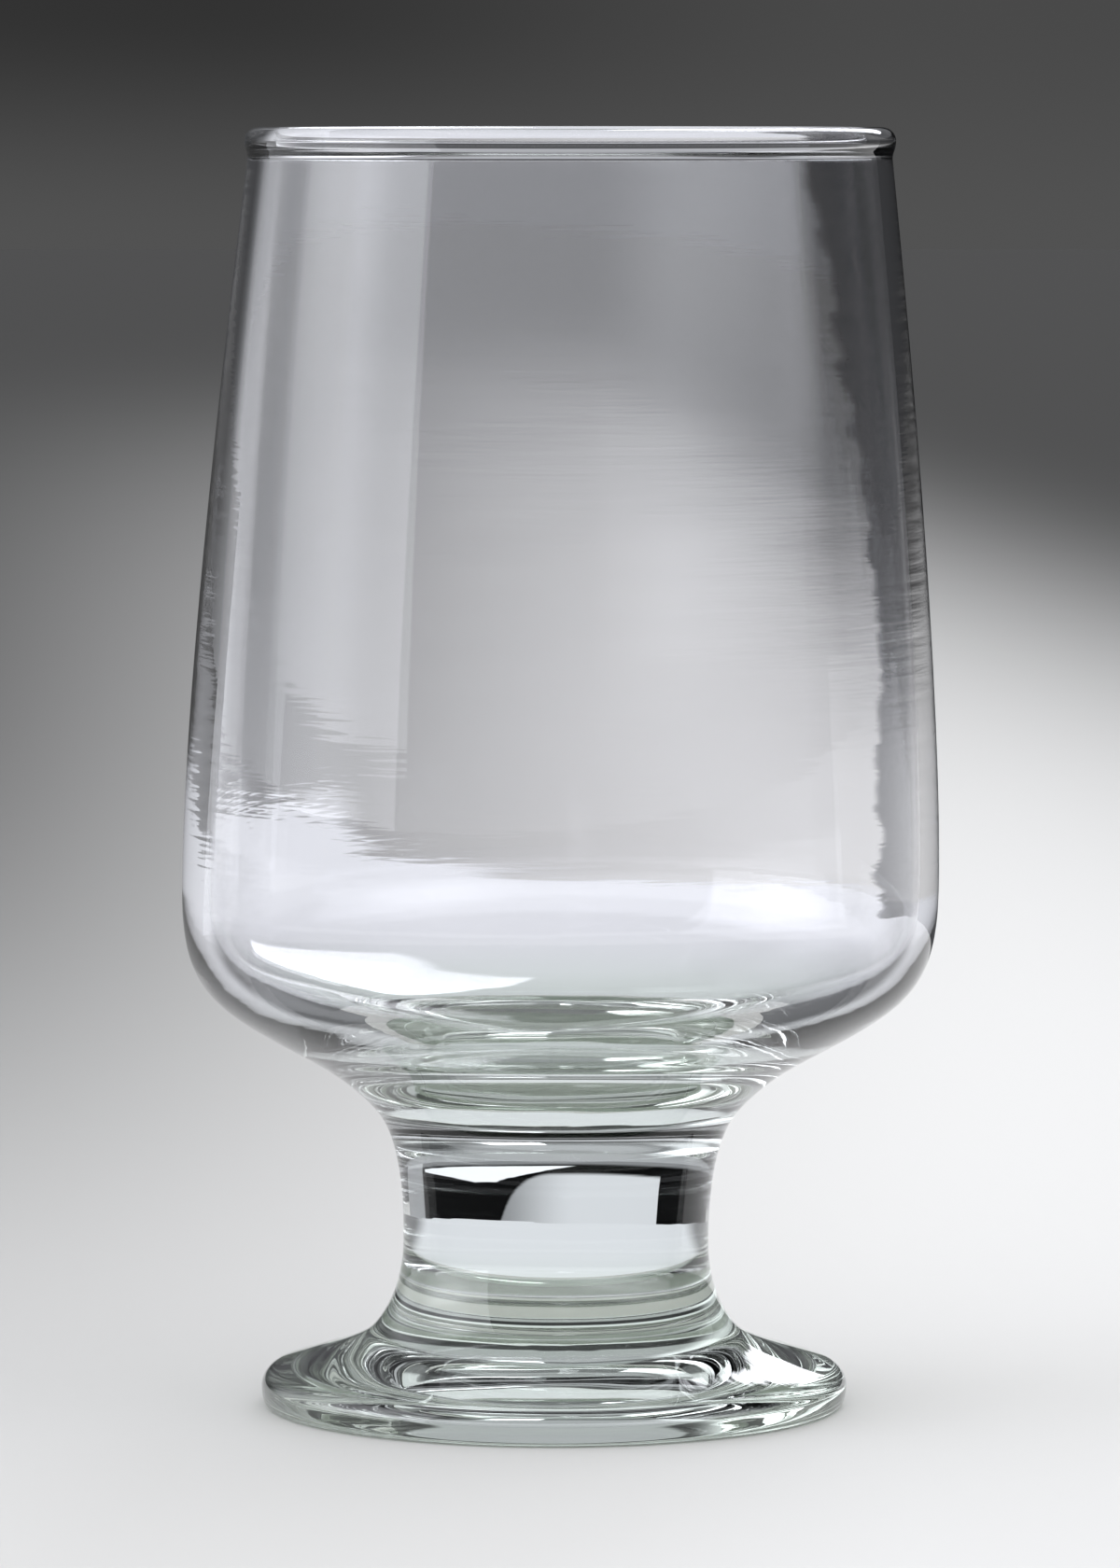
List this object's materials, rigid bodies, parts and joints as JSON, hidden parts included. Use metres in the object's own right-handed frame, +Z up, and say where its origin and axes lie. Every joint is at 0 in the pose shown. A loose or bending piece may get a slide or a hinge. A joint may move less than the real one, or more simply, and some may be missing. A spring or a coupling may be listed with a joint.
{
  "type": "water goblet",
  "caption": "Clear glass water goblet: a tapered bowl with a beaded lip and rounded shoulder, on a short solid waisted stem and a round foot.",
  "frame": {"origin": "centre of the plane that the foot stands on", "axes": "+Z up along the goblet's axis, from the foot to the lip; X and Y lie across the round foot, with -Y towards the picture's viewer"},
  "size_m": [0.085, 0.085, 0.1434],
  "materials": {
    "clear_glass": "clear soda-lime glass, fire-polished and glossy, with a faint grey-green tint where it is thick"
  },
  "bodies": {
    "root": {"rim_bead": "clear_glass", "bowl": "clear_glass", "stem": "clear_glass", "foot": "clear_glass"}
  },
  "joints": []
}
